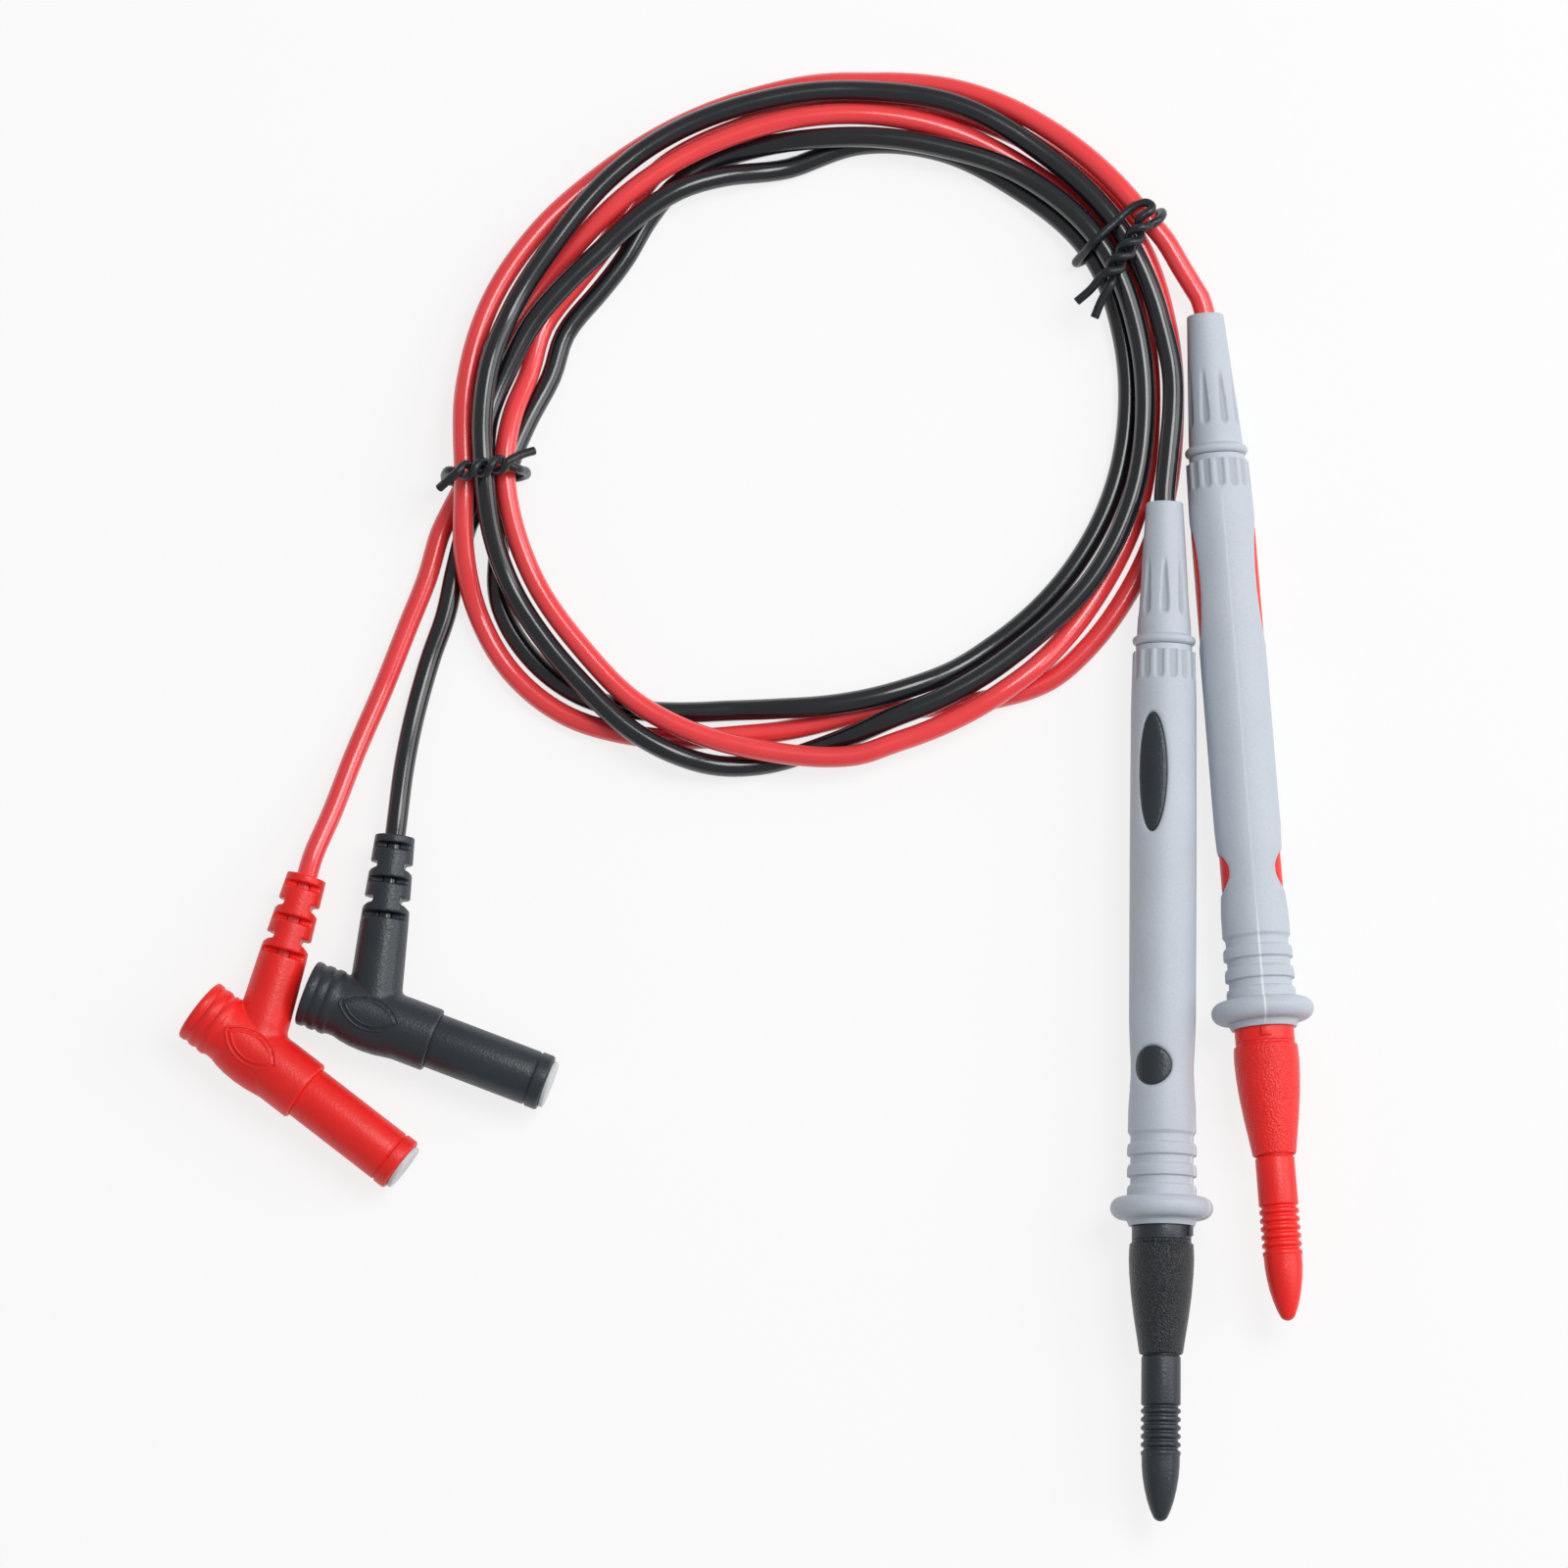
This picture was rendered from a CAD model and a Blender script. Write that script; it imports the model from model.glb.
"""Builds a coiled pair of multimeter test leads, with their ties, floor, lamps and camera."""
import math

import bmesh
import bpy
from bpy.props import FloatProperty, FloatVectorProperty, IntProperty, PointerProperty
from mathutils import Matrix, Vector


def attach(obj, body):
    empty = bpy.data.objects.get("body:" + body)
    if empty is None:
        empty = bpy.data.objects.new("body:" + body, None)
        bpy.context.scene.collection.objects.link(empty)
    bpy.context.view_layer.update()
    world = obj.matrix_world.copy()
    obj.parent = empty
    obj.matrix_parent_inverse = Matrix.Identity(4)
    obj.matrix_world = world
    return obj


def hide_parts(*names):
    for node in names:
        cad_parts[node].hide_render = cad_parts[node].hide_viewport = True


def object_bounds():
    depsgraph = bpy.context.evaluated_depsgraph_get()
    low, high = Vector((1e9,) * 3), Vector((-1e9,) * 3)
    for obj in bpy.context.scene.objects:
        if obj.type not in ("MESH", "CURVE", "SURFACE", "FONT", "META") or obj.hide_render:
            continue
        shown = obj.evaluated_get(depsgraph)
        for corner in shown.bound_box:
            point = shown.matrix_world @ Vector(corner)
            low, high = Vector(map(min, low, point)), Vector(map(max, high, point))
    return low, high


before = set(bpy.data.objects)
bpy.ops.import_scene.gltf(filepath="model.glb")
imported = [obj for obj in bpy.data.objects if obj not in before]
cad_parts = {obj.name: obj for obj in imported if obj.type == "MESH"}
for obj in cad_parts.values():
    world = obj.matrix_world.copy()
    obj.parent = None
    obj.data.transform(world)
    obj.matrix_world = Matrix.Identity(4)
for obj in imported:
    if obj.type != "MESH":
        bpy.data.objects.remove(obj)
CAD_BOX = [list(corner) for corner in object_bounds()]

bl_info = {
    "name": "Test Lead Set",
    "version": (1, 0, 0),
    "blender": (4, 5, 0),
    "location": "View3D > Sidebar > Test Leads",
    "description": "Builds a coiled pair of multimeter test leads with probes and plugs",
    "category": "Object",
}

MM = 0.001
SETS = ("black", "red")


# ---- How the set lies, in millimetres and degrees ----------------------------------

# Each probe's tail, and its yaw, pitch and roll.
TAIL = {"black": (-7.6, 70.5, 7.65), "red": (-0.3, 103.7, 4.73)}
POSE = {"black": (-90.6, 0.52, 23.5), "red": (-85.85, 1.9, 90)}

# Each plug's rear, its yaw, and how far its lead bends the neck.
REAR = {"black": (-154.2, -13.55, 5.8), "red": (-172.5, -16.4, 5.8)}
TURN = {"black": -20.9, "red": -37.7}
BEND = {"black": -2.8, "red": 4.6}

# Along a probe, from the tail's mouth.
CORE_FROM, SLEEVE_END, BAND_FROM, GRIP_FROM = 12, 24.8, 24.9, 26
CRIMP_FROM, CRIMP_END, GRIP_END, COLLAR_END = 94, 112, 124.3, 126.7
SPIGOT_END, COVER_FROM, NOSE_END = 137, 140.2, 146
WINDOW_AT, WINDOW_LONG, WINDOW_WIDE = 47.2, 20.3, 5
BUTTON_AT, BUTTON_R = 97.4, 3.3
COLLAR_R = 5.05

# Along a plug from its rear, and along its neck from the plug's middle line.
SHROUD_FROM, BODY_END, PIN_COLLAR_END, PIN_GUARD_FROM = 6, 23.3, 24, 25
PIN_END, SHROUD_END = 41.2, 43.8
NECK_AT, NECK_ANGLE, NECK_INNER, NECK_END = 12.2, 107, 5.5, 31.3

# The bundle: its middle, and where the ties are, how they lift the leads and over how far.
COIL = (-68, 85.5)
LEFT_TIE_AT, RIGHT_TIE_AT = 190, 31
LEFT_TIE_R, RIGHT_TIE_R = 57, 61.8
TIE_LIFT, TIE_REACH = 1.7, 22
TIE_TWIST_R, TWIST_STEPS, TIE_SPACING = 1.07, 8, 0.35

# The leads: half their thickness, the points along them, how far their ends reach into
# sleeve and neck, and the bare strands before the crimp.
LEAD_R = 1.8
COIL_STEP, LEAD_SPACING = 2.5, 1.5
TUCKED_IN, BARED = 1.5, 1.5

# Where a lead lies on its neck's line, and on its probe's line.
MEETS_NECK = (NECK_END - TUCKED_IN, NECK_END, NECK_END + 3.8)
MEETS_PROBE = {"red": (0, TUCKED_IN), "black": (-1.5, 0, TUCKED_IN)}

# The tie that each lead carries.
TIE_ON = {"red": "left_tie_wire", "black": "right_tie_wire"}

# Stops on the way round the coil: angle, radius, height; the angle falls by 360 a turn.
STOPS = {
    "red": (
        (190, 60.5, 1.8), (180, 59.4, 1.8), (170, 56.6, 1.8), (160, 53.8, 1.8), (150, 52, 2.2),
        (142, 51, 3.8), (132, 50.6, 5.7), (120, 50.8, 5.9), (105, 51.6, 5.9), (90, 53.1, 5.8),
        (80, 54.3, 5.5), (65, 56.2, 4.2), (55, 57.5, 2.3), (48, 58.4, 1.8), (31, 60.4, 1.8),
        (15, 59.4, 1.8), (0, 58.2, 1.8), (-15, 58, 1.8), (-30, 57.4, 1.8), (-40, 57.4, 3.1),
        (-48, 57.6, 5.2), (-56, 57.5, 6), (-75, 57.8, 5.5), (-83, 58.8, 5.6), (-97, 58.2, 5.9),
        (-120, 57.8, 5.9), (-135, 56, 5.9), (-150, 55.2, 5.9), (-170, 53.5, 5.9),
        (-180, 51.6, 5.2), (-190, 49.4, 3), (-200, 49.3, 1.8), (-212, 47.4, 1.8),
        (-222, 47.4, 1.8), (-232, 49.8, 1.8), (-240, 51.8, 1.8), (-255, 53.2, 1.8),
        (-270, 55.1, 1.8), (-280, 56.5, 1.8), (-295, 59.8, 1.8), (-310, 62.5, 1.8),
        (-329, 64.5, 1.8), (-345, 63.5, 1.8), (-360, 62.3, 1.8), (-375, 62.2, 1.8),
        (-390, 61.8, 1.8), (-400, 61.4, 1.8), (-408, 60.5, 1.8), (-417, 57.2, 1.8),
        (-427, 53.6, 1.8), (-437, 51.5, 1.8), (-445, 51.6, 1.8), (-457, 54.2, 1.8),
        (-465, 56.5, 1.8), (-480, 62.6, 1.8), (-490, 66.2, 1.8), (-500, 67.4, 1.8),
        (-510, 66.3, 2.5), (-518, 64.2, 5.2), (-530, 60.5, 5.9), (-545, 59.8, 5.9),
        (-560, 59, 5.5), (-575, 57.6, 4.6), (-590, 56.7, 2.2), (-605, 57, 1.8), (-620, 58.1, 1.8),
        (-630, 59.5, 1.8), (-640, 60.9, 1.8), (-655, 63.9, 3), (-670, 65.5, 5), (-689, 67.2, 5.5),
    ),
    "black": (
        (190, 56.9, 4.1), (180, 55.6, 4.5), (170, 52.9, 5.4), (160, 50.7, 5.7), (150, 48.3, 5.9),
        (140, 46.7, 5.9), (120, 46.2, 5.9), (110, 45.4, 4.6), (100, 44.7, 2.3), (93, 45.3, 1.8),
        (80, 49.7, 1.8), (65, 52.7, 1.8), (50, 54.2, 1.8), (31, 56.4, 1.8), (15, 55.6, 1.8),
        (0, 54.3, 1.8), (-15, 53, 1.8), (-30, 51.5, 1.8), (-50, 49.8, 1.8), (-60, 49.6, 2.6),
        (-70, 49.4, 4.8), (-80, 49.5, 5.5), (-90, 49.9, 5.2), (-97, 50.4, 3.8), (-105, 51.8, 1.8),
        (-112, 54.3, 1.8), (-120, 57.8, 1.8), (-130, 61.8, 1.8), (-140, 63.2, 1.8),
        (-150, 62, 1.8), (-158, 58, 1.8), (-170, 53.3, 1.8), (-180, 49, 1.8), (-190, 45.7, 1.8),
        (-200, 45.3, 1.8), (-212, 43.3, 1.8), (-222, 43.3, 1.8), (-232, 45.7, 1.8),
        (-240, 47.7, 1.8), (-250, 48.9, 1.8), (-260, 49.1, 3), (-270, 49.2, 5.2),
        (-280, 50.2, 5.9), (-295, 52.6, 5.9), (-310, 56, 5.6), (-329, 58.4, 5.5), (-345, 58, 5.5),
        (-360, 57.2, 5.5), (-375, 56.6, 5.5), (-390, 55.5, 5.5), (-405, 53.7, 5.6),
        (-415, 53.3, 5.7), (-425, 53.3, 5.9), (-435, 53.6, 5.5), (-443, 55.1, 3.7),
        (-450, 57, 1.9), (-457, 59.6, 1.8), (-465, 61.9, 3.2), (-472, 62.6, 5.3),
        (-480, 62.2, 5.9), (-490, 60.6, 5.9), (-500, 59.8, 5.9), (-510, 59.3, 6),
        (-518, 58.6, 6.8), (-530, 57, 8.3), (-540, 56.5, 8.7), (-550, 56, 8.5), (-560, 55, 6.6),
        (-575, 53.9, 6.5), (-590, 54.7, 6.2), (-600, 55.4, 5.9), (-620, 56.4, 5.9),
        (-630, 57.4, 5.7), (-640, 58.5, 5.5), (-655, 60.6, 6), (-670, 61.3, 5.8),
        (-689, 62.5, 5.5), (-705, 62.4, 6),
    ),
}

# Points from each plug to the bundle, and from the bundle to each probe.
FROM_PLUG = {
    "red": ((-150, 17.5, 4.5), (-146.2, 28, 2.7), (-141.4, 39.6, 1.8), (-137.4, 50, 1.8),
            (-134.1, 58.5, 1.8), (-131.8, 66.5, 1.8), (-129.5, 71.2, 2.2)),
    "black": ((-137.8, 25, 4.5), (-136.2, 34, 2.7), (-133.6, 44, 1.8), (-130.9, 52, 1.8),
              (-129.2, 60, 1.8), (-127.2, 67.5, 2.5), (-125.1, 71.4, 4.3)),
}
TO_PROBE = {
    "red": ((-7.3, 116.8, 6.5), (-4.4, 112, 5.8), (-2.2, 108.5, 5.1), (-1.2, 106.9, 4.85)),
    "black": ((-6.2, 94, 6.6), (-6.1, 87, 7.2), (-6.7, 80.5, 7.6)),
}


def direction(yaw, pitch=0):
    yaw, pitch = math.radians(yaw), math.radians(pitch)
    level = math.cos(pitch)
    return Vector((level * math.cos(yaw), level * math.sin(yaw), math.sin(pitch)))


def along_probe(name, s):
    return Vector(TAIL[name]) + s * direction(*POSE[name][:2])


def along_neck(name, s):
    return (Vector(REAR[name]) + NECK_AT * direction(TURN[name])
            + s * direction(TURN[name] + NECK_ANGLE + BEND[name]))


def on_probe(name):
    """Places a piece that stands on +Z from the tail's mouth, in millimetres."""
    yaw, pitch, roll = POSE[name]
    return (
        Matrix.Scale(MM, 4)
        @ Matrix.Translation(TAIL[name])
        @ Matrix.Rotation(math.radians(yaw), 4, "Z")
        @ Matrix.Rotation(math.radians(90 - pitch), 4, "Y")
        @ Matrix.Rotation(math.radians(roll), 4, "Z")
    )


def off_neck(name):
    """From the neck's own +Z to the plug's."""
    turned = Matrix.Rotation(math.radians(-NECK_ANGLE - BEND[name]), 4, "X")
    return Matrix.Translation((0, 0, NECK_AT)) @ turned


def on_plug(name):
    """Places a piece that stands on +Z from the plug body's rear, in millimetres."""
    return (
        Matrix.Scale(MM, 4)
        @ Matrix.Translation(REAR[name])
        @ Matrix.Rotation(math.radians(TURN[name]), 4, "Z")
        @ Matrix.Rotation(math.radians(90), 4, "Y")
    )


# ---- Routes of the leads and ties --------------------------------------------------

def at_angle(stops, a):
    """Radius and height on a smooth line through the stops."""
    i = max(k for k in range(len(stops) - 1) if stops[k][0] >= a)
    before, p, q, after = (stops[min(max(k, 0), len(stops) - 1)] for k in (i - 1, i, i + 1, i + 2))
    h = q[0] - p[0]
    t = (a - p[0]) / h
    value = []
    for c in (1, 2):
        m = (q[c] - before[c]) / (q[0] - before[0]) * h
        n = (after[c] - p[c]) / (after[0] - p[0]) * h
        value.append(
            (2 * t**3 - 3 * t**2 + 1) * p[c] + (t**3 - 2 * t**2 + t) * m
            + (3 * t**2 - 2 * t**3) * q[c] + (t**3 - t**2) * n
        )
    return value


def raised(a):
    """How far a tie under the bundle raises it at this angle."""
    d = min(abs((a - tie + 180) % 360 - 180) for tie in (LEFT_TIE_AT, RIGHT_TIE_AT))
    return TIE_LIFT * (0.5 + 0.5 * math.cos(math.pi * d / TIE_REACH)) if d < TIE_REACH else 0


def round_coil(stops):
    """The stretch of a lead that goes round with the bundle."""
    points = []
    a = stops[0][0]
    while a > stops[-1][0]:
        r, z = at_angle(stops, a)
        points.append(Vector((
            COIL[0] + r * math.cos(math.radians(a)),
            COIL[1] + r * math.sin(math.radians(a)),
            max(z, LEAD_R) + raised(a),
        )))
        a -= COIL_STEP
    return points


def held_in(points, r):
    """A round wire's middle line, kept inside the set's own box."""
    low, high = (Vector(corner) / MM for corner in CAD_BOX)
    return [Vector([min(max(p[k], low[k] + r), high[k] - r) for k in range(3)]) for p in points]


def smooth_line(points, spacing):
    """A centripetal Catmull-Rom line through the points."""
    pts = [Vector(p) for p in points]
    pts = [2 * pts[0] - pts[1]] + pts + [2 * pts[-1] - pts[-2]]
    line = [pts[1]]
    for p0, p1, p2, p3 in zip(pts, pts[1:], pts[2:], pts[3:]):
        t1 = (p1 - p0).length ** 0.5
        t2 = t1 + (p2 - p1).length ** 0.5
        t3 = t2 + (p3 - p2).length ** 0.5
        n = max(1, round((p2 - p1).length / spacing))
        for k in range(1, n + 1):
            t = t1 + (t2 - t1) * k / n
            a1 = p0.lerp(p1, t / t1)
            a2 = p1.lerp(p2, (t - t1) / (t2 - t1))
            a3 = p2.lerp(p3, (t - t2) / (t3 - t2))
            b1 = a1.lerp(a2, t / t2)
            b2 = a2.lerp(a3, (t - t1) / (t3 - t1))
            line.append(b1.lerp(b2, (t - t1) / (t2 - t1)))
    return line


def lead_route(name):
    """The lead's middle line from the probe's tail to the plug's neck."""
    points = (
        [along_neck(name, s) for s in MEETS_NECK]
        + list(FROM_PLUG[name])
        + round_coil(STOPS[name])
        + list(TO_PROBE[name])
        + [along_probe(name, s) for s in MEETS_PROBE[name]]
    )
    return held_in(smooth_line(points, LEAD_SPACING)[::-1], LEAD_R)


def twist(a, b, turns, phase, hand):
    """One wire of a twisted pair from a to b."""
    a, b = Vector(a), Vector(b)
    t = (b - a).normalized()
    n = t.cross(Vector((0, 0, 1))).normalized()
    m = n.cross(t)
    last = round(turns * TWIST_STEPS)
    return [
        a + (b - a) * k / last
        + TIE_TWIST_R * (math.cos(w) * n + math.sin(w) * m)
        for k in range(last + 1)
        for w in (math.radians(phase + hand * 360 * k / TWIST_STEPS),)
    ]


def right_tie_stops():
    """Outwards, onwards and up at the bundle: one end, under and over it, the other end."""
    a, b = (4.4, 0.8, 11.3), (-6.5, 6, 11.2)
    return (
        [(-11.5, 10.4, 9.6), (-9, 8.6, 10.4)]
        + twist(a, b, 2, 0, 1)[::-1]
        + [
            (6.6, 1.7, 10.9), (7.8, 1.1, 9.6), (8.3, 0.4, 7.9), (8.2, 0, 6.4), (7.3, -0.3, 4.9),
            (5.2, -0.4, 2), (4.1, -0.4, 1.1), (2.7, -0.4, 0.8), (-5.4, -0.4, 0.8), (-6.9, -0.4, 1),
            (-8, -0.4, 2), (-8.4, -0.4, 3.9), (-6.4, -0.6, 8), (-5, -0.9, 9.7), (-3.4, -1.2, 10.1),
            (0.5, -2, 10.1), (3.6, -2.6, 10.1), (5.4, -2.5, 10.3), (6.5, -2, 10.6), (6.9, -1, 11),
            (6.2, -0.3, 11.4), (5, -0.3, 11.4),
        ]
        + twist(a, b, 2, 180, 1)
        + [(-9.4, 5.9, 10.2), (-12.6, 6.4, 9.2)]
    )


def left_tie_stops():
    """Outwards, onwards and up at the bundle: one end, once round it, the other end."""
    a, b = (-4.2, 0, 13.9), (4.2, 0, 13.9)
    return (
        [(-9, 1.6, 12.6), (-6.9, 1.1, 13.9)]
        + twist(a, b, 1.5, 90, -1)
        + [
            (5.8, 0.9, 11.8), (6.5, 1, 9.4), (6.7, 1, 7.6), (6.8, 1, 3.5), (6.4, 0.9, 2),
            (5.2, 0.7, 1), (3.6, 0.5, 0.8), (-3.6, -0.3, 0.8), (-5.3, -0.4, 1), (-6.6, -0.5, 2),
            (-7.1, -0.6, 3.5), (-7, -0.7, 7.6), (-6.5, -0.8, 9.4), (-5.8, -0.8, 11.6),
        ]
        + twist(a, b, 1.5, 270, -1)
        + [(6, -1, 14.4), (8, -2, 12.8)]
    )


def by_bundle(angle, radius, p):
    """From outwards, onwards and up at the bundle to the set's own millimetres."""
    a = math.radians(angle)
    r = radius + p[0]
    return Vector((
        COIL[0] + r * math.cos(a) + p[1] * math.sin(a),
        COIL[1] + r * math.sin(a) - p[1] * math.cos(a),
        p[2],
    ))


# ---- Mesh helpers ------------------------------------------------------------------

ROUNDING_STEPS = 3      # steps in a rounded corner of a profile
SKIN_R = 4.3            # a grip's edges further out than this are its skin
FULL_HOLLOW = 0.4       # depth at which a hollow is as dark as it gets
FLASH_RIDGE = 0.06      # height of the mould's flash
GUARD_FROM_R = 6.5      # further out than this, on the finger guard, the flash has no height


def arc(centre, radius, start, end, steps):
    """Points of an arc in a profile, angles in degrees."""
    return [
        (centre[0] + radius * math.cos(w), centre[1] + radius * math.sin(w))
        for k in range(steps + 1)
        for w in (math.radians(start + (end - start) * k / steps),)
    ]


def rounded(profile, radius):
    """A closed profile with each corner off the axis rounded."""
    out = []
    pts = [Vector(p) for p in profile]
    for before, p, after in zip([pts[-1]] + pts[:-1], pts, pts[1:] + [pts[0]]):
        u, v = before - p, after - p
        reach = min(radius, u.length * 0.45, v.length * 0.45)
        if p.x < 0.01 or reach < 1e-6 or u.angle(v) > math.pi - 0.12:
            out.append(tuple(p))
            continue
        a, b = p + u.normalized() * reach, p + v.normalized() * reach
        for k in range(ROUNDING_STEPS + 1):
            t = k / ROUNDING_STEPS
            out.append(tuple(a.lerp(p, t).lerp(p.lerp(b, t), t)))
    return out


def spaced(profile, longest, low, high):
    """A closed profile with no long edges in its skin between two heights."""
    out = []
    for p, q in zip(profile, profile[1:] + profile[:1]):
        p, q = Vector(p), Vector(q)
        cuts = [0.0, 1.0]
        if abs(q.y - p.y) > 1e-6:
            cuts += [t for t in ((z - p.y) / (q.y - p.y) for z in (low, high)) if 0 < t < 1]
        cuts.sort()
        for t0, t1 in zip(cuts, cuts[1:]):
            a, b = p.lerp(q, t0), p.lerp(q, t1)
            inside = low - 1e-6 <= min(a.y, b.y) and max(a.y, b.y) <= high + 1e-6 and a.x > SKIN_R
            n = max(1, math.ceil((b - a).length / longest)) if inside else 1
            out += [tuple(a.lerp(b, k / n)) for k in range(n)]
    return out


def lathe(profile, turns=96):
    """Spins a closed profile of (radius, height) about Z."""
    bm = bmesh.new()
    verts = [bm.verts.new((max(r, 0), 0, z)) for r, z in profile]
    edges = [
        bm.edges.new((a, b)) for a, b in zip(verts, verts[1:] + verts[:1])
        if (a.co - b.co).length > 1e-7 and max(a.co.x, b.co.x) > 1e-6
    ]
    bmesh.ops.spin(
        bm, geom=verts + edges, cent=(0, 0, 0), axis=(0, 0, 1),
        angle=2 * math.pi, steps=turns, use_merge=True,
    )
    bmesh.ops.remove_doubles(bm, verts=bm.verts, dist=1e-4)
    bmesh.ops.recalc_face_normals(bm, faces=bm.faces)
    return bm


def carve(bm, depth_at, flash_at=None):
    """Sinks each vertex by depth_at(angle, radius, height); the finish reads hollow and flash."""
    hollow = bm.verts.layers.float.new("hollow")
    flash = bm.verts.layers.float.new("flash")
    for v in bm.verts:
        r, angle = math.hypot(v.co.x, v.co.y), math.atan2(v.co.y, v.co.x)
        if r < 1e-6:
            continue
        down = depth_at(angle, r, v.co.z)
        up = flash_at(angle, r, v.co.z) if flash_at else 0
        v[hollow] = min(max(down, 0) / FULL_HOLLOW, 1)
        v[flash] = up
        ridge = FLASH_RIDGE * up if r < GUARD_FROM_R else 0
        v.co.x *= (r - down + ridge) / r
        v.co.y *= (r - down + ridge) / r


def join(bm, more):
    """Adds one bmesh to another."""
    mesh = bpy.data.meshes.new("joined")
    more.to_mesh(mesh)
    more.free()
    bm.from_mesh(mesh)
    bpy.data.meshes.remove(mesh)


def settle(obj, material, body, replaced):
    """Puts a finished piece in the scene, on its body."""
    if obj.name not in bpy.context.scene.objects:
        bpy.context.scene.collection.objects.link(obj)
    obj.data.materials.clear()
    obj.data.materials.append(material)
    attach(obj, body)
    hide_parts(*replaced)
    return obj


def piece(bm, name, place, material, body, replaced, sharp=40):
    """Turns a bmesh, in millimetres about its own axis, into a finished piece."""
    bm.transform(place)
    mesh = bpy.data.meshes.new(name)
    for face in bm.faces:
        face.smooth = True
    bm.to_mesh(mesh)
    bm.free()
    mesh.set_sharp_from_angle(angle=math.radians(sharp))
    return settle(bpy.data.objects.new(name, mesh), material, body, replaced)


def wire(name, points, diameter, material, body, replaced, fineness, closed=False):
    """A round wire along points in millimetres: a curve of one spline."""
    curve = bpy.data.curves.new(name, "CURVE")
    curve.dimensions = "3D"
    curve.bevel_depth = diameter / 2 * MM
    curve.bevel_resolution = fineness
    curve.use_fill_caps = True
    spline = curve.splines.new("POLY")
    spline.points.add(len(points) - 1)
    for place, p in zip(spline.points, points):
        place.co = (p[0] * MM, p[1] * MM, p[2] * MM, 1)
    spline.use_smooth = True
    spline.use_cyclic_u = closed
    return settle(bpy.data.objects.new(name, curve), material, body, replaced)


def eased(low, high, x):
    """From 0 at low to 1 at high, smoothly."""
    t = min(max((x - low) / (high - low), 0), 1)
    return t * t * (3 - 2 * t)


def dent(d, depth, lip):
    """Depth at d from the edge of a window: its wall, and a faint lip as far as this."""
    return depth * (1 - eased(-0.1, 0.3, d)) + 0.1 * (1 - eased(0.2, lip, d))


def across_flute(angle, r, count):
    """Distance in millimetres from the middle of the nearest flute."""
    share = angle / (2 * math.pi) * count
    return abs(share % 1 - 0.5) / count * 2 * math.pi * r


# ---- Materials ---------------------------------------------------------------------

class Signal:
    """A shader socket that can be used in sums."""

    def __init__(self, made_by, socket):
        self.made_by = made_by
        self.socket = socket

    def _sum(self, operation, a, b):
        return self.made_by.node("ShaderNodeMath", {"operation": operation}, {0: a, 1: b})

    def __add__(self, other):
        return self._sum("ADD", self, other)

    __radd__ = __add__

    def __sub__(self, other):
        return self._sum("SUBTRACT", self, other)

    def __rsub__(self, other):
        return self._sum("SUBTRACT", other, self)

    def __mul__(self, other):
        return self._sum("MULTIPLY", self, other)

    __rmul__ = __mul__


class Finish:
    """A material: one Principled shader and the nodes that vary it."""

    def __init__(self, name, **shader):
        self.material = bpy.data.materials.new(name)
        self.material.use_nodes = True
        self.tree = self.material.node_tree
        self.shader = self.tree.nodes["Principled BSDF"]
        for socket, value in shader.items():
            self.shader.inputs[socket.replace("_", " ")].default_value = value
        self.place = self.node("ShaderNodeTexCoord", {}, {}, "Object")

    def node(self, kind, settings, inputs, output=0):
        """Any node: its settings first, then its sockets' values or links."""
        made = self.tree.nodes.new(kind)
        for key, value in settings.items():
            setattr(made, key, value)
        for key, value in inputs.items():
            if isinstance(value, Signal):
                self.tree.links.new(value.socket, made.inputs[key])
            else:
                made.inputs[key].default_value = value
        return Signal(self, made.outputs[output])

    def noise(self, scale, detail):
        return self.node(
            "ShaderNodeTexNoise", {}, {"Vector": self.place, "Scale": scale, "Detail": detail},
        )

    def cells(self, scale):
        return self.node(
            "ShaderNodeTexVoronoi", {"feature": "SMOOTH_F1"},
            {"Vector": self.place, "Scale": scale, "Smoothness": 0.5},
        )

    def kept(self, name):
        """What a mesh keeps at its points under this name."""
        return self.node("ShaderNodeAttribute", {"attribute_name": name}, {}, "Fac")

    def between(self, value, low, high, to_low=0.0, to_high=1.0):
        """A value between two bounds, spread over two others and held in them."""
        return self.node("ShaderNodeMapRange", {"clamp": True}, {
            "Value": value, "From Min": low, "From Max": high,
            "To Min": to_low, "To Max": to_high,
        })

    def blend(self, amount, first, second):
        """A mix of two colours; the Mix node's colours are sockets 6 and 7 in, and 2 out."""
        colours = {0: amount, 6: first, 7: second}
        return self.node("ShaderNodeMix", {"data_type": "RGBA"}, colours, 2)

    def feed(self, socket, signal):
        self.tree.links.new(signal.socket, self.shader.inputs[socket])

    def tinted(self, colour, drift, darkest, palest):
        """Lets the colour drift between a darker and a paler shade."""
        dark, pale = shade(colour, darkest), shade(colour, palest)
        self.feed("Base Color", self.blend(drift, dark, pale))

    def relief(self, height, depth):
        """Bump of this depth in metres."""
        self.feed("Normal", self.node("ShaderNodeBump", {}, {"Distance": depth, "Height": height}))


def shade(colour, factor):
    """The colour made darker or paler, and opaque."""
    return tuple(min(c * factor, 1) for c in colour[:3]) + (1,)


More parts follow.
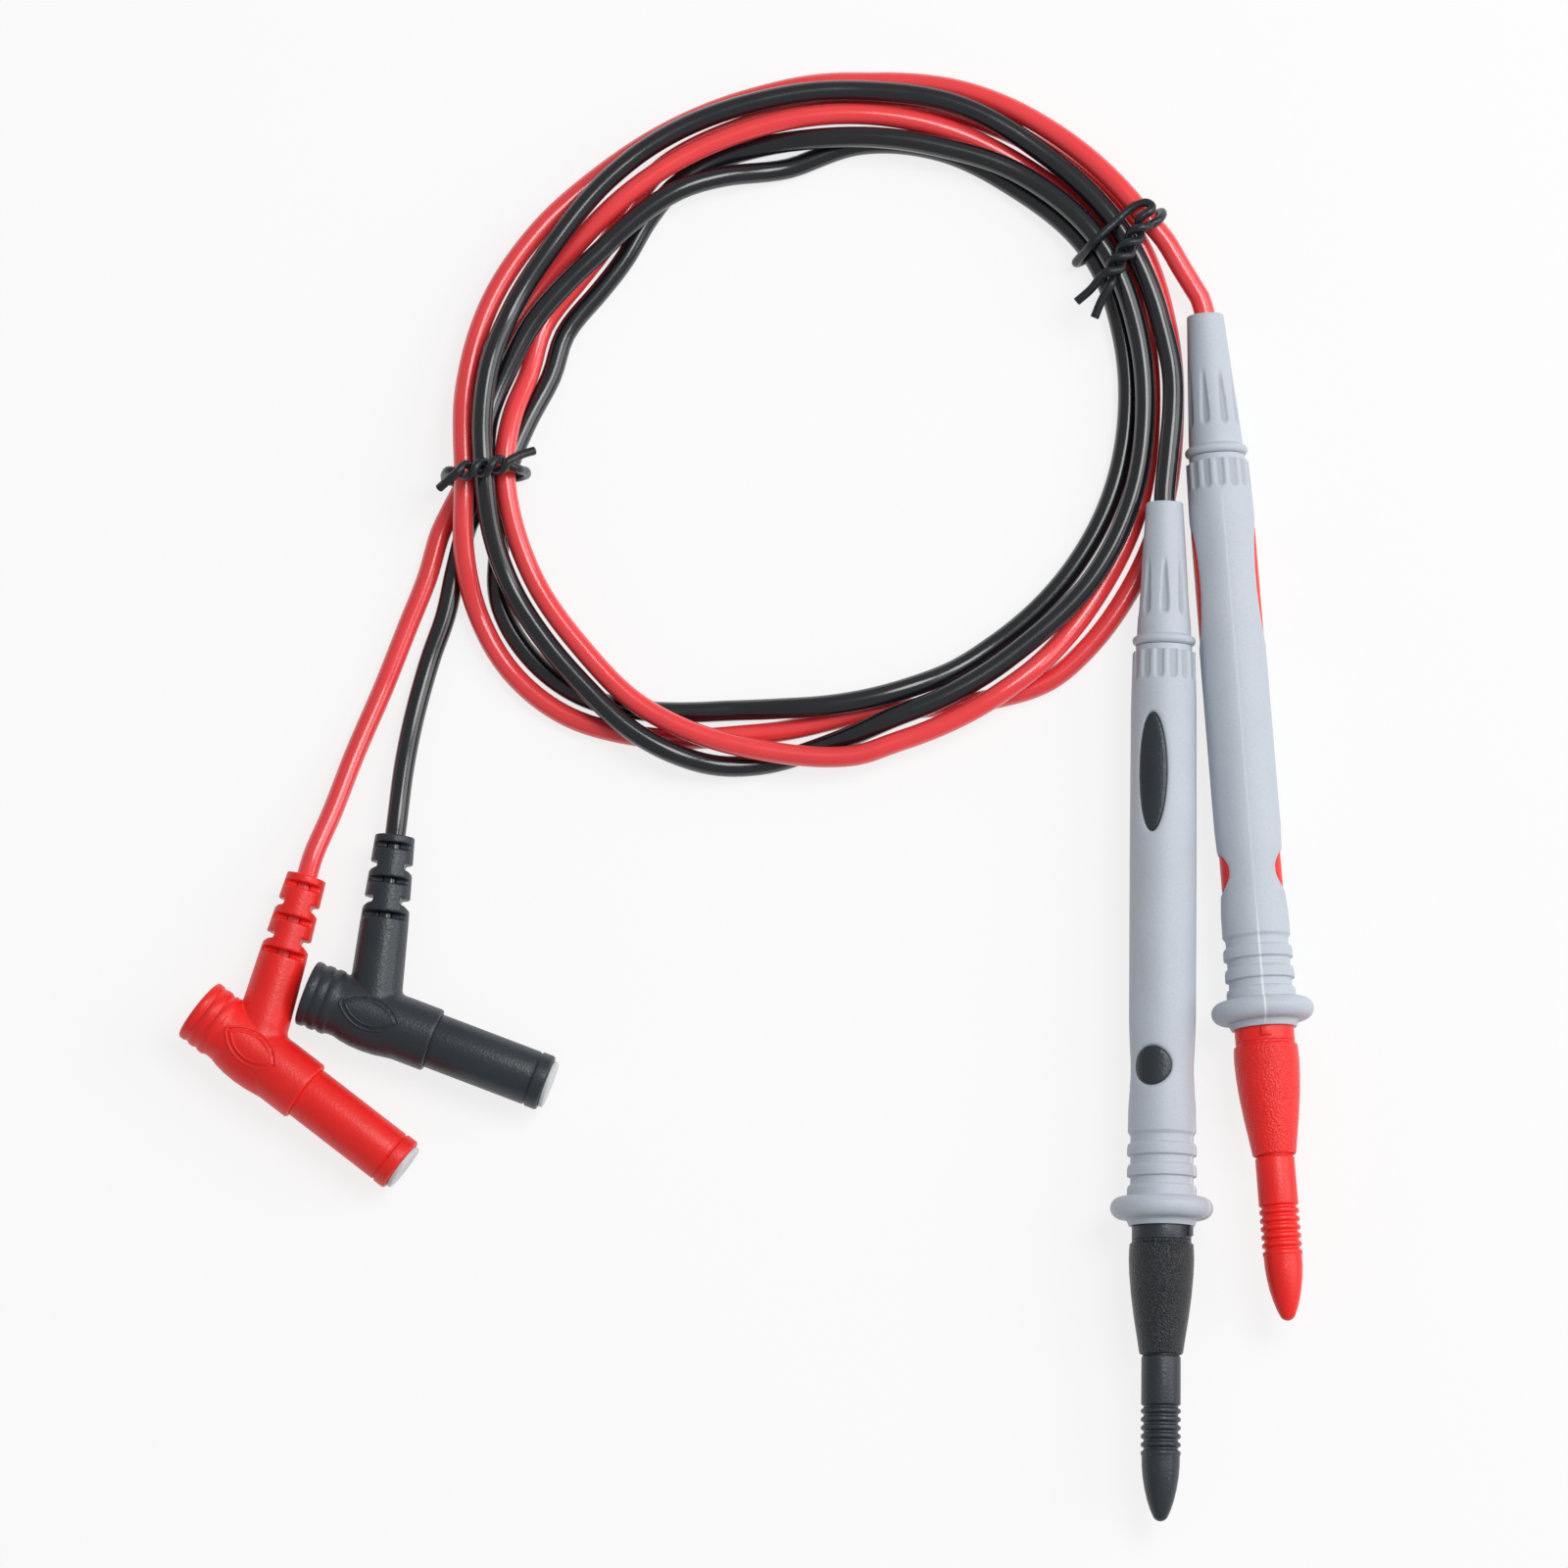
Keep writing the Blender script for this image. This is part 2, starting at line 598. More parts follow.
def soft_grip(name, colour):
    """Soft over-moulding: satin, finely grained, darker in its hollows, pale on the flash."""
    f = Finish(name, IOR=1.48)
    cloud, speck = f.noise(90, 4), f.noise(2400, 2)
    drift = f.between(cloud * 0.5 + speck * 0.5, 0.35, 0.65)
    skin = f.blend(drift, shade(colour, 0.95), shade(colour, 1.05))
    skin = f.blend(f.kept("hollow") * 0.45, skin, shade(colour, 0.5))
    f.feed("Base Color", f.blend(f.kept("flash") * 0.85, skin, shade(colour, 1.8)))
    f.feed("Roughness", f.between(cloud * 0.6 + speck * 0.4, 0.3, 0.7, 0.44, 0.6))
    f.relief(speck * 0.6 + f.noise(4200, 1) * 0.4, 0.00005)
    return f.material


def moulded(name, colour, grain, depth, rough):
    """Moulded plastic with a spark-eroded grain."""
    f = Finish(name, IOR=1.5)
    speck, cloud = f.noise(grain * 1.7, 2), f.noise(140, 3)
    f.tinted(colour, f.between(cloud, 0.3, 0.7), 0.9, 1.1)
    f.feed("Roughness", f.between(speck, 0.3, 0.7, rough - 0.08, rough + 0.08))
    f.relief(f.cells(grain) * 0.7 + speck * 0.5, depth)
    return f.material


def jacket(name, colour):
    """Soft PVC jacket: glossy, with long faint waves."""
    f = Finish(name, IOR=1.5, Coat_Weight=0.5, Coat_Roughness=0.08)
    wave, cloud = f.noise(160, 2), f.noise(40, 3)
    f.tinted(colour, f.between(cloud, 0.35, 0.65), 0.93, 1.08)
    f.feed("Roughness", f.between(wave, 0.3, 0.7, 0.2, 0.28))
    f.relief(wave * 0.9 + f.noise(1500, 2) * 0.1, 0.00003)
    return f.material


def natural(name, colour):
    """Uncoloured plastic that lets a little light in."""
    f = Finish(name, IOR=1.51, Subsurface_Weight=0.12, Subsurface_Scale=0.001)
    cloud = f.noise(260, 3)
    f.tinted(colour, f.between(cloud, 0.35, 0.65), 0.95, 1.03)
    f.feed("Roughness", f.between(cloud, 0.3, 0.7, 0.4, 0.52))
    f.relief(f.noise(1800, 2), 0.00003)
    return f.material


def metal(name, colour, rough):
    """Turned metal with fine tool marks."""
    f = Finish(name, Metallic=1.0)
    mark, cloud = f.noise(2600, 2), f.noise(300, 3)
    f.tinted(colour, f.between(cloud, 0.3, 0.7), 0.88, 1.05)
    f.feed("Roughness", f.between(mark, 0.3, 0.7, rough - 0.06, rough + 0.08))
    f.relief(mark, 0.00001)
    return f.material


def finish(name):
    """The finish of this name, made when it is first asked for."""
    if name in bpy.data.materials:
        return bpy.data.materials[name]
    s = bpy.context.scene.test_leads
    black, red, deep = s.black_colour, s.red_colour, shade(s.black_colour, 0.5)
    return {
        "soft grey grip": lambda: soft_grip(name, s.grip_colour),
        "black moulding": lambda: moulded(name, black, grain=2200, depth=0.00005, rough=0.38),
        "red moulding": lambda: moulded(name, red, grain=2200, depth=0.00004, rough=0.4),
        "black grained nose": lambda: moulded(name, deep, grain=3000, depth=0.0003, rough=0.28),
        "red grained nose": lambda: moulded(name, red, grain=2700, depth=0.0002, rough=0.34),
        "tie plastic": lambda: moulded(name, deep, grain=1800, depth=0.00006, rough=0.36),
        "black jacket": lambda: jacket(name, s.black_jacket_colour),
        "red jacket": lambda: jacket(name, s.red_jacket_colour),
        "natural plastic": lambda: natural(name, s.natural_colour),
        "nickel plating": lambda: metal(name, (0.72, 0.71, 0.67), rough=0.22),
        "turned brass": lambda: metal(name, (0.78, 0.60, 0.30), rough=0.28),
        "bright copper": lambda: metal(name, (0.80, 0.42, 0.25), rough=0.35),
    }[name]()


# ---- Settings ----------------------------------------------------------------------

def size(name, about, default, low, high):
    return FloatProperty(
        name=name, description=about, default=default, min=low, max=high,
        subtype="DISTANCE", unit="LENGTH",
    )


def count(name, about, default, low, high):
    return IntProperty(name=name, description=about, default=default, min=low, max=high)


def tint(name, about, default):
    return FloatVectorProperty(
        name=name, description=about, default=default, min=0, max=1, subtype="COLOR",
    )


class TestLeadSettings(bpy.types.PropertyGroup):
    """Sizes and colours of the set"""

    lead_diameter: size("Lead diameter", "Outside diameter of a lead", 0.0036, 0.003, 0.0036)
    tie_diameter: size("Tie wire", "Thickness of a tie's wire", 0.0015, 0.0012, 0.0015)
    flute_depth: size("Flute depth", "Depth of all the flutes", 0.0004, 0.0001, 0.0005)
    sleeve_flutes: count("Sleeve flutes", "Long flutes round a tail sleeve", 8, 4, 12)
    grip_flutes: count("Grip flutes", "Short flutes round a grip's rear", 14, 6, 18)
    grip_colour: tint("Grip", "Colour of the soft over-moulding", (0.53, 0.58, 0.65))
    black_colour: tint("Black moulding", "Colour of the black plastic", (0.024, 0.033, 0.042))
    red_colour: tint("Red moulding", "Colour of the red plastic", (0.98, 0.016, 0.012))
    black_jacket_colour: tint("Black jacket", "Colour of the black lead", (0.008, 0.010, 0.014))
    red_jacket_colour: tint("Red jacket", "Colour of the red lead", (0.97, 0.055, 0.062))
    natural_colour: tint("Pin guard", "Colour of the natural plastic", (0.66, 0.68, 0.69))
    floor_colour: tint("Floor", "Colour of the floor", (0.94, 0.94, 0.94))


# ---- Operators ---------------------------------------------------------------------

FLOOR_HALF, FLOOR_DROP, FLOOR_GLOW = 1.5, 0.0001, 0.8   # half its side, how low, how white
SKY_STRENGTH = 0.36
LAMPS = (                                               # place, width and power
    ("overhead box", (0.32, 0.3, 0.99), 0.5, 5.0),
    ("right box", (0.95, 0.2, 0.6), 0.9, 5.1),
)
LAMPS_AIM = (-0.07, 0.02, 0)
VIEW_AIM, VIEW_TILT = (-72.8, 22.45, 4), 82             # millimetres and degrees
VIEW_RANGE, VIEW_HALF = 1500, 134.05                    # how far, and half of what is seen


class LEADS_OT_stage(bpy.types.Operator):
    """Sets up the floor, the lamps and the camera"""

    bl_idname = "leads.stage"
    bl_label = "Floor, lamps and camera"

    def execute(self, context):
        context.scene.view_settings.view_transform = "Standard"
        self.floor(context)
        self.sky(context)
        for lamp in LAMPS:
            self.lamp(context, *lamp)
        self.camera(context)
        return {"FINISHED"}

    def floor(self, context):
        colour = context.scene.test_leads.floor_colour
        bm = bmesh.new()
        bmesh.ops.create_grid(bm, x_segments=1, y_segments=1, size=FLOOR_HALF)
        bm.transform(Matrix.Translation((0, 0, -FLOOR_DROP)))
        mesh = bpy.data.meshes.new("floor")
        bm.to_mesh(mesh)
        bm.free()
        floor = bpy.data.objects.new("floor", mesh)
        context.scene.collection.objects.link(floor)
        f = Finish("pale floor", Roughness=0.9)
        f.feed("Base Color", f.blend(f.noise(3, 2), shade(colour, 0.99), shade(colour, 1)))
        straight, mirrored, through = (
            f.node("ShaderNodeLightPath", {}, {}, f"Is {kind} Ray")
            for kind in ("Camera", "Glossy", "Transmission")
        )
        seen = straight + mirrored + through
        plain = Signal(f, f.shader.outputs[0])
        white = f.node("ShaderNodeEmission", {}, {"Color": (1, 1, 1, 1), "Strength": 1.0})
        both = f.node("ShaderNodeMixShader", {}, {0: seen * FLOOR_GLOW, 1: plain, 2: white})
        f.tree.links.new(both.socket, f.tree.nodes["Material Output"].inputs["Surface"])
        mesh.materials.append(f.material)

    def sky(self, context):
        world = bpy.data.worlds.new("soft sky")
        context.scene.world = world
        world.use_nodes = True
        nodes, links = world.node_tree.nodes, world.node_tree.links
        light = nodes["Background"]
        light.inputs["Color"].default_value = (1, 1, 1, 1)
        light.inputs["Strength"].default_value = SKY_STRENGTH
        plain = nodes.new("ShaderNodeBackground")
        plain.inputs["Color"].default_value = (1, 1, 1, 1)
        seen = nodes.new("ShaderNodeLightPath")
        either = nodes.new("ShaderNodeMixShader")
        links.new(seen.outputs["Is Camera Ray"], either.inputs[0])
        links.new(light.outputs[0], either.inputs[1])
        links.new(plain.outputs[0], either.inputs[2])
        links.new(either.outputs[0], nodes["World Output"].inputs["Surface"])

    def lamp(self, context, name, place, width, power):
        data = bpy.data.lights.new(name, "AREA")
        data.shape = "DISK"
        data.size = width
        data.energy = power
        lamp = bpy.data.objects.new(name, data)
        lamp.location = place
        aim = Vector(LAMPS_AIM) - Vector(place)
        lamp.rotation_euler = aim.to_track_quat("-Z", "Y").to_euler()
        context.scene.collection.objects.link(lamp)

    def camera(self, context):
        tilt = math.radians(VIEW_TILT)
        data = bpy.data.cameras.new("camera")
        data.angle = 2 * math.atan(VIEW_HALF / VIEW_RANGE)
        data.clip_start = 0.01
        camera = bpy.data.objects.new("camera", data)
        back = Vector((0, -math.cos(tilt), math.sin(tilt)))
        camera.location = Vector(VIEW_AIM) * MM + VIEW_RANGE * MM * back
        camera.rotation_euler = (math.radians(90) - tilt, 0, 0)
        context.scene.collection.objects.link(camera)
        context.scene.camera = camera


class LEADS_OT_leads(bpy.types.Operator):
    """Lays the two leads along their routes"""

    bl_idname = "leads.leads"
    bl_label = "Leads"

    def execute(self, context):
        d = context.scene.test_leads.lead_diameter / MM
        cut = [(0, 0), (d / 2 - 0.1, 0), (d / 2, 0.1), (d / 2, 1)]
        for name in SETS:
            jacketed, slot = finish(f"{name} jacket"), f"{name}_jacket"
            wire(f"{name}_lead_jacket", lead_route(name), d, jacketed,
                 "lead_set", [f"{name}_lead"], fineness=8)
            for where, place, start, end in (
                ("probe", on_probe(name), TUCKED_IN, CRIMP_FROM - BARED),
                ("plug", on_plug(name) @ off_neck(name), NECK_INNER, NECK_END - TUCKED_IN),
            ):
                rod = [(r, start + z) for r, z in cut] + [(r, end - z) for r, z in cut[::-1]]
                piece(lathe(rod, 32), f"{name}_lead_in_{where}", place, jacketed,
                      "lead_set", [])
        return {"FINISHED"}


class LEADS_OT_ties(bpy.types.Operator):
    """Winds the two twist ties round the bundle"""

    bl_idname = "leads.ties"
    bl_label = "Twist ties"

    def execute(self, context):
        d = context.scene.test_leads.tie_diameter / MM
        for name, angle, radius, stops in (
            ("left_tie", LEFT_TIE_AT, LEFT_TIE_R, left_tie_stops()),
            ("right_tie", RIGHT_TIE_AT, RIGHT_TIE_R, right_tie_stops()),
        ):
            line = smooth_line([by_bundle(angle, radius, p) for p in stops], TIE_SPACING)
            wire(f"{name}_wire", held_in(line, d / 2), d, finish("tie plastic"),
                 "lead_set", [name], fineness=4)
        return {"FINISHED"}


EMBLEM_AT, EMBLEM_R = 11.8, 5.35
EMBLEM_RIMS = ((5.4, 2.8, 0.5), (4.3, 2, 0.42))         # half length, half width, thickness
LENS_STEPS = 24                                         # points along each side of a rim
BODY_VOXEL = 0.0002                                     # metres
ROOT_BODY_R, ROOT_NECK_R, ROOT_REACH, ROOT_PASSES = 5.4, 4.6, 1.3, 30


class LEADS_OT_plugs(bpy.types.Operator):
    """Eases the plug bodies and turns their shrouds and pin guards"""

    bl_idname = "leads.plugs"
    bl_label = "Plugs"

    def execute(self, context):
        end = SHROUD_END
        shroud = rounded([
            (0, SHROUD_FROM), (4.28, SHROUD_FROM), (4.28, BODY_END), (4.75, BODY_END),
            (4.75, end - 2.6), (4.55, end - 2.5), (4.55, end - 2.3), (4.85, end - 2.1),
            (4.85, end - 0.3), (4.6, end), (3.75, end), (3.75, PIN_COLLAR_END),
            (2.02, PIN_COLLAR_END), (2.02, SHROUD_FROM + 2), (0, SHROUD_FROM + 2)], 0.1)
        guard = rounded([
            (2.15, PIN_GUARD_FROM), (3.67, PIN_GUARD_FROM), (3.67, end + 0.05),
            (4.1, end + 0.05), (4.1, end + 0.7), (3.8, end + 0.9), (0, end + 0.9),
            (0, PIN_END + 0.4), (2.15, PIN_END + 0.4)], 0.15)
        for name in SETS:
            place, plastic, slot = on_plug(name), finish(f"{name} moulding"), f"{name}_plastic"
            self.body(context, name, plastic, slot)
            for side, where in ((-1, "upper"), (1, "lower")):
                for k, (a, b, thick) in enumerate(EMBLEM_RIMS, 1):
                    rim = [place @ p / MM for p in self.lens(side, a, b)]
                    wire(f"{name}_emblem_rim_{where}_{k}", rim, thick, plastic,
                         "lead_set", [], fineness=2, closed=True)
            piece(lathe(shroud), f"{name}_shroud", place, plastic,
                  "lead_set", [f"{name}_plug_shroud"])
            piece(lathe(guard, 72), f"{name}_guard_cap", place, finish("natural plastic"),
                  f"{name}_guard", [f"{name}_pin_guard"])
        return {"FINISHED"}

    def lens(self, side, a, b):
        """A pointed lens that lies on the round body."""
        r = (a * a + b * b) / (2 * b)
        w = math.asin(a / r)
        points = []
        for half in (1, -1):
            for k in range(LENS_STEPS):
                t = w - 2 * w * k / LENS_STEPS
                along, over = half * r * math.sin(t), half * (r * math.cos(t) - r + b)
                out = math.sqrt(EMBLEM_R ** 2 - over ** 2)
                points.append(Vector((side * out, over, EMBLEM_AT + along)))
        return points

    def body(self, context, name, plastic, slot):
        """Lays an even skin over the body's solid and eases its edges, as on a soft moulding."""
        bm = bmesh.new()
        bm.from_mesh(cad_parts[f"{name}_plug_body"].data)
        bmesh.ops.remove_doubles(bm, verts=bm.verts, dist=1e-7)
        obj = bpy.data.objects.new(f"{name}_body", bpy.data.meshes.new(f"{name}_body"))
        bm.to_mesh(obj.data)
        bm.free()
        context.scene.collection.objects.link(obj)
        skin = obj.modifiers.new("even skin", "REMESH")
        skin.mode = "VOXEL"
        skin.voxel_size = BODY_VOXEL
        ease = obj.modifiers.new("eased edges", "SMOOTH")
        ease.factor = 0.5
        ease.iterations = 4
        mesh = bpy.data.meshes.new_from_object(obj.evaluated_get(context.evaluated_depsgraph_get()))
        obj.modifiers.clear()
        bm = bmesh.new()
        bm.from_mesh(mesh)
        self.ease_root(bm, name)
        for face in bm.faces:
            face.smooth = True
        bm.to_mesh(mesh)
        bm.free()
        obj.data = mesh
        settle(obj, plastic, "lead_set", [f"{name}_plug_body"])

    def ease_root(self, bm, name):
        """Rounds the corner where the neck leaves the body."""
        to_plug, to_neck = on_plug(name).inverted(), off_neck(name).inverted()
        root = []
        for v in bm.verts:
            p = to_plug @ v.co
            q = to_neck @ p
            in_front = q.z > 0 and p.z > NECK_AT - 0.33 * p.y
            by_body = abs(math.hypot(p.x, p.y) - ROOT_BODY_R) < ROOT_REACH
            by_neck = abs(math.hypot(q.x, q.y) - ROOT_NECK_R) < ROOT_REACH
            if in_front and by_body and by_neck:
                root.append(v)
        for _ in range(ROOT_PASSES):
            bmesh.ops.smooth_vert(
                bm, verts=root, factor=0.5, use_axis_x=True, use_axis_y=True, use_axis_z=True,
            )


class LEADS_OT_declare(bpy.types.Operator):
    """States each lead's length and what hangs on it"""

    bl_idname = "leads.declare"
    bl_label = "Leads as free cords"

    def execute(self, context):
        for name in SETS:
            route = lead_route(name)
            carried = [f"{name}_{part}" for part in (
                "body", "shroud", "guard_cap", "banana_pin", "contact_spring", "plug_strands",
            )]
            carried += [TIE_ON[name]]
        return {"FINISHED"}


SLEEVE_STEP = 0.3                                       # longest edge along a sleeve's skin
FLUTES_DEEPEN, FLUTES_WIDEN, FLUTES_END = (9.3, 12.5), (10, 18), 18.9


class LEADS_OT_sleeves(bpy.types.Operator):
    """Turns the fluted tail sleeves"""

    bl_idname = "leads.sleeves"
    bl_label = "Tail sleeves"

    def execute(self, context):
        s = context.scene.test_leads
        outline = rounded(
            [(1.9, 0), (3.15, 0), (4.6, 22), (4.62, 23.1)] + arc((4.6, 24), 0.8, -70, 70, 10)
            + [(4.8, SLEEVE_END), (3.22, SLEEVE_END), (3.22, CORE_FROM), (1.9, CORE_FROM)],
            0.25)
        fine = []
        for (r0, z0), (r1, z1) in zip(outline, outline[1:] + outline[:1]):
            skin = r0 > 2.9 and r1 > 2.9 and z1 > z0
            n = max(1, math.ceil(abs(z1 - z0) / SLEEVE_STEP)) if skin else 1
            fine += [(r0 + (r1 - r0) * k / n, z0 + (z1 - z0) * k / n) for k in range(n)]

        def flutes(angle, r, z):
            if r < 3.3 or z > 22.5:
                return 0
            d = math.hypot(across_flute(angle, r, s.sleeve_flutes), max(z - FLUTES_END, 0))
            half = 0.45 + 0.4 * eased(*FLUTES_WIDEN, z)
            wall = eased(half - 0.45, half + 0.05, d)
            return s.flute_depth / MM * eased(*FLUTES_DEEPEN, z) * (1 - wall)

        for name in SETS:
            bm = lathe(fine, 144)
            carve(bm, flutes)
            piece(bm, f"{name}_sleeve", on_probe(name), finish("soft grey grip"),
                  "lead_set", [f"{name}_tail_sleeve"])
        return {"FINISHED"}


RING_STARTS = (109, 112.6, 116.1)
FINE_STEP, FINE_BANDS = 0.2, ((25.9, 58.2), (92.8, 102))    # flutes and windows, buttons
SHORT_FLUTES_END, SHORT_FLUTE_SHARE = 30.2, 0.8             # share of the full depth
WINDOW_DEPTH, BUTTON_DEPTH = 0.9, 0.7
FLASH_FROM, FLASH_END, FLASH_WIDTH = 31, 124, 0.15


class LEADS_OT_grips(bpy.types.Operator):
    """Turns the soft grips with their flutes, windows, rings and finger guards"""

    bl_idname = "leads.grips"
    bl_label = "Grips"

    def execute(self, context):
        s = context.scene.test_leads
        outline = [
            (4.02, BAND_FROM), (4.8, BAND_FROM), (4.8, GRIP_FROM), (5.38, GRIP_FROM), (5.6, 36),
            (5.7, 62), (5.68, 89.5), (5.53, 93.6), (5.36, 96.6), (5.36, 98.6), (5.52, 101.4),
            (5.73, 104.4), (5.8, 108.4)]
        for z in RING_STARTS:
            outline += [
                (5.36, z), (5.36, z + 1.25), (5.74, z + 1.45), (5.9, z + 2), (5.92, z + 3.35)]
        outline = rounded(outline + [(5.92, 119.45)], 0.12)[:-1]
        outline += [(6.5, 119.5)] + arc((6.9, 121.28), 1.83, -75, 90, 16)
        outline += [(6, 123.1), (5.95, 123.4), (5.66, 124.1), (5.55, GRIP_END), (4.02, GRIP_END)]
        for low, high in FINE_BANDS:
            outline = spaced(outline, FINE_STEP, low, high)

        def form(angle, r, z):
            if r < 4.7:
                return 0
            down = 0
            if z < 32 and r > 5:
                past = max(z - SHORT_FLUTES_END, 0)
                d = math.hypot(across_flute(angle, r, s.grip_flutes), past)
                down += SHORT_FLUTE_SHARE * s.flute_depth / MM * (1 - eased(0.4, 1, d))
            y = r * math.sin(angle)
            a, b = WINDOW_WIDE / 2, WINDOW_LONG / 2
            e = math.hypot(y / a, (z - WINDOW_AT) / b)
            if e < 1.6:
                slope = math.hypot(y / a ** 2, (z - WINDOW_AT) / b ** 2) / max(e, 0.05)
                down += dent((e - 1) / max(slope, 0.05), WINDOW_DEPTH, lip=0.9)
            d = math.hypot(y, z - BUTTON_AT) - BUTTON_R
            if d < 1:
                down += dent(d, BUTTON_DEPTH, lip=0.8)
            return down

        def parting(angle, r, z):
            if not FLASH_FROM < z < FLASH_END or r < 5:
                return 0
            ridge = math.exp(-((r * math.cos(angle) / FLASH_WIDTH) ** 2))
            return ridge * (0.25 * eased(FLASH_FROM, 34, z) + 0.75 * eased(104, 110, z))

        for name in SETS:
            bm = lathe(outline, 216)
            carve(bm, form, parting)
            piece(bm, f"{name}_soft_grip", on_probe(name), finish("soft grey grip"),
                  "lead_set", [f"{name}_grip"], 60)
        return {"FINISHED"}


WINDOW_PAD_R, BUTTON_PAD_R, PAD_GAP = 5.52, 5.22, 0.02
LUG_SIZE, LUG_AT = (1.8, 0.7, 1.6), (0, 5.1, 125.3)


class LEADS_OT_handles(bpy.types.Operator):
    """Turns the hard inner handles with their pads, buttons and collars"""

    bl_idname = "leads.handles"
    bl_label = "Inner handles"

    def execute(self, context):
        core = rounded([
            (1.9, CORE_FROM), (3.2, CORE_FROM), (3.2, SLEEVE_END), (4, SLEEVE_END), (4, GRIP_END),
            (COLLAR_R, GRIP_END), (COLLAR_R, COLLAR_END), (3, COLLAR_END), (3, SPIGOT_END),
            (1.02, SPIGOT_END), (1.02, CRIMP_END), (2.42, CRIMP_END), (2.42, CRIMP_FROM),
            (1.9, CRIMP_FROM)], 0.12)
        for name in SETS:
            bm = lathe(core)
            for side in (-1, 1):
                join(bm, self.pad(side, WINDOW_WIDE / 2, WINDOW_LONG / 2, WINDOW_AT, WINDOW_PAD_R))
                join(bm, self.pad(side, BUTTON_R, BUTTON_R, BUTTON_AT, BUTTON_PAD_R))
            join(bm, self.lug())
            piece(bm, f"{name}_core", on_probe(name), finish(f"{name} moulding"),
                  "lead_set", [f"{name}_handle_core"])
        return {"FINISHED"}

    def pad(self, side, half_width, half_length, at, radius):
        """An oval pad whose face follows the round handle."""
        face = [(0, 0), (0.2, 0), (0.4, 0), (0.6, 0), (0.8, 0), (0.93, -0.02), (0.98, -0.08)]
        bm = lathe(face + [(1, -0.2), (1, -1.3), (0, -1.3)])
        for v in bm.verts:
            y, up = v.co.x * (half_width - PAD_GAP), v.co.z
            out = math.sqrt(radius ** 2 - y ** 2) + up
            v.co = (side * out, y, at + v.co.y * (half_length - PAD_GAP))
        bmesh.ops.recalc_face_normals(bm, faces=bm.faces)
        return bm

    def lug(self):
        """The small block on the collar."""
        bm = bmesh.new()
        bmesh.ops.create_cube(bm, size=1)
        bmesh.ops.scale(bm, vec=LUG_SIZE, verts=bm.verts)
        bmesh.ops.translate(bm, vec=LUG_AT, verts=bm.verts)
        bmesh.ops.bevel(
            bm, geom=list(bm.edges), offset=0.15, segments=2, profile=0.5,
            affect="EDGES", material=-1,
        )
        return bm


class LEADS_OT_noses(bpy.types.Operator):
    """Turns the grained nose cones"""

    bl_idname = "leads.noses"
    bl_label = "Nose cones"

    def execute(self, context):
        outline = rounded([
            (3.02, COLLAR_END), (COLLAR_R, COLLAR_END), (COLLAR_R, 127.25), (5.42, 127.35),
            (5.5, 128.4), (5.55, 130), (5.45, 132.5), (5.15, 136), (4.7, 139.5), (4.15, 143),
            (3.72, 145.8), (3.6, NOSE_END), (3.43, NOSE_END), (3.43, 140), (1.02, 140),
            (1.02, SPIGOT_END + 0.1), (3.02, SPIGOT_END + 0.1)], 0.12)
        for name in SETS:
            grained = finish(f"{name} grained nose")
            piece(lathe(outline, 128), f"{name}_nose", on_probe(name), grained,
                  "lead_set", [f"{name}_nose_cone"])
        return {"FINISHED"}


GROOVES, GROOVES_FROM, GROOVE_PITCH = 6, 154.6, 1.42


